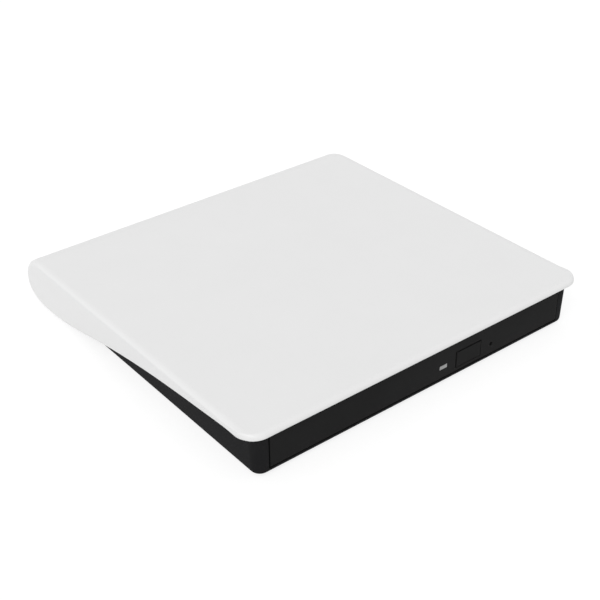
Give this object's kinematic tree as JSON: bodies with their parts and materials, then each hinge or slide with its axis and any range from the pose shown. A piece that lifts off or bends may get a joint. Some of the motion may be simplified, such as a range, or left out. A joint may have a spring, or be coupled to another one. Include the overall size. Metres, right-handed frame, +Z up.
{
  "type": "external dvd drive",
  "caption": "Slim external disc drive: a white wing-shaped cover with a rounded rear nose over a black base, with a sliding disc tray, an eject button and a USB socket at the rear.",
  "frame": {"origin": "centre of the footprint, on the surface that the feet stand on", "axes": "+X to the right as the user faces the tray, +Y to the rear nose, +Z up; the tray opens along -Y"},
  "size_m": [0.145, 0.142, 0.0188],
  "materials": {
    "cover_white": "satin",
    "case_black": "satin",
    "bezel_black": "satin",
    "rubber": "matte",
    "screw_steel": "machined",
    "board_green": "solder mask",
    "chip_black": "moulded",
    "connector_black": "moulded",
    "shell_nickel": "plated",
    "sheet_steel": "zinc plated",
    "slide_steel": "drawn",
    "guide_white": "moulded",
    "flex": "film",
    "tray_grey": "fine texture",
    "window_clear": "clear",
    "led_body": "clear",
    "rod_steel": "ground",
    "clamp_plastic": "moulded",
    "screw_brass": "turned",
    "bearing_bronze": "sintered",
    "copper": "enamelled wire",
    "sled_cast": "cast",
    "nut_plastic": "moulded",
    "lens_glass": "coated",
    "lever_plastic": "moulded"
  },
  "bodies": {
    "case": {"top_cover": "cover_white", "base_case": "case_black", "rubber_feet": "rubber", "case_screws": "screw_steel", "bridge_board": "board_green", "bridge_chips": "chip_black", "sata_plug": "connector_black", "usb_socket_shell": "shell_nickel", "usb_socket_tongue": "connector_black", "drive_chassis": "sheet_steel", "drive_lid": "sheet_steel", "drive_screws": "screw_steel", "rail_guide_left": "guide_white", "rail_guide_right": "guide_white", "latch_post": "rod_steel", "connector_board": "board_green", "sata_receptacle": "connector_black", "flex_cable": "flex"},
    "rail_left": {"slide_rail_left": "slide_steel"},
    "rail_right": {"slide_rail_right": "slide_steel"},
    "tray": {"disc_tray": "tray_grey", "tray_bezel": "bezel_black", "indicator_lens": "window_clear", "indicator_led": "led_body", "button_board": "board_green", "button_switch": "chip_black", "mechanism_cover": "sheet_steel", "tray_shield": "sheet_steel", "tray_board": "board_green", "tray_chips": "chip_black", "tray_screws": "screw_steel", "traverse_frame": "sheet_steel", "traverse_dampers": "rubber", "traverse_screws": "screw_steel", "guide_rod_main": "rod_steel", "guide_rod_sub": "rod_steel", "rod_clamps": "clamp_plastic", "sled_motor": "shell_nickel", "spindle_base": "sheet_steel", "spindle_bearing": "bearing_bronze", "spindle_stator": "copper", "latch_solenoid": "shell_nickel"},
    "spindle": {"spindle_rotor": "shell_nickel", "turntable": "tray_grey", "turntable_pad": "rubber"},
    "pawl_a": {"hub_pawl_a": "nut_plastic"},
    "pawl_b": {"hub_pawl_b": "nut_plastic"},
    "pawl_c": {"hub_pawl_c": "nut_plastic"},
    "screw": {"lead_screw": "screw_brass"},
    "sled": {"optical_sled": "sled_cast", "sled_nut": "nut_plastic", "laser_module": "bearing_bronze"},
    "lens": {"lens_holder": "clamp_plastic", "objective_lens": "lens_glass"},
    "button": {"eject_button": "bezel_black"},
    "latch": {"latch_lever": "lever_plastic"}
  },
  "joints": [
    {"name": "tray_slide", "type": "slide", "parent": "case", "child": "tray", "axis": [0, -1, 0], "range_m": [0, 0.128], "deforming": ["flex_cable"]},
    {"name": "left_rail_slide", "type": "slide", "parent": "case", "child": "rail_left", "axis": [0, -1, 0], "range_m": [0, 0.0705]},
    {"name": "right_rail_slide", "type": "slide", "parent": "case", "child": "rail_right", "axis": [0, -1, 0], "range_m": [0, 0.0705]},
    {"name": "spindle_spin", "type": "hinge", "parent": "tray", "child": "spindle", "pos_m": [0, -0.003, 0.0111], "axis": [0, 0, 1], "continuous": true},
    {"name": "sled_slide", "type": "slide", "parent": "tray", "child": "sled", "axis": [-0.7071, -0.7071, 0], "range_m": [0, 0.0335]},
    {"name": "lead_screw_spin", "type": "hinge", "parent": "tray", "child": "screw", "pos_m": [0.00495, -0.02209, 0.0073], "axis": [-0.7071, -0.7071, 0], "range_deg": [0, 4021]},
    {"name": "lens_focus", "type": "slide", "parent": "sled", "child": "lens", "axis": [0, 0, 1], "range_m": [-0.0004, 0.0004], "stiffness_N_per_m": 40},
    {"name": "eject_button_press", "type": "slide", "parent": "tray", "child": "button", "axis": [0, 1, 0], "range_m": [0, 0.0005], "stiffness_N_per_m": 800, "springref_m": -0.0005},
    {"name": "latch_turn", "type": "hinge", "parent": "tray", "child": "latch", "pos_m": [0.0495, -0.045, 0.0073], "axis": [0, 0, 1], "range_deg": [0, 14]},
    {"name": "pawl_a_press", "type": "slide", "parent": "spindle", "child": "pawl_a", "axis": [0, -1, 0], "range_m": [0, 0.0004], "stiffness_N_per_m": 600, "springref_m": -0.0003},
    {"name": "pawl_b_press", "type": "slide", "parent": "spindle", "child": "pawl_b", "axis": [0.866, 0.5, 0], "range_m": [0, 0.0004], "stiffness_N_per_m": 600, "springref_m": -0.0003},
    {"name": "pawl_c_press", "type": "slide", "parent": "spindle", "child": "pawl_c", "axis": [-0.866, 0.5, 0], "range_m": [0, 0.0004], "stiffness_N_per_m": 600, "springref_m": -0.0003}
  ],
  "couplings": [
    {"joint": "left_rail_slide", "follows": "tray_slide", "ratio": 0.55},
    {"joint": "right_rail_slide", "follows": "tray_slide", "ratio": 0.55},
    {"joint": "lead_screw_spin", "follows": "sled_slide", "rad_per_m": 2094.4}
  ]
}
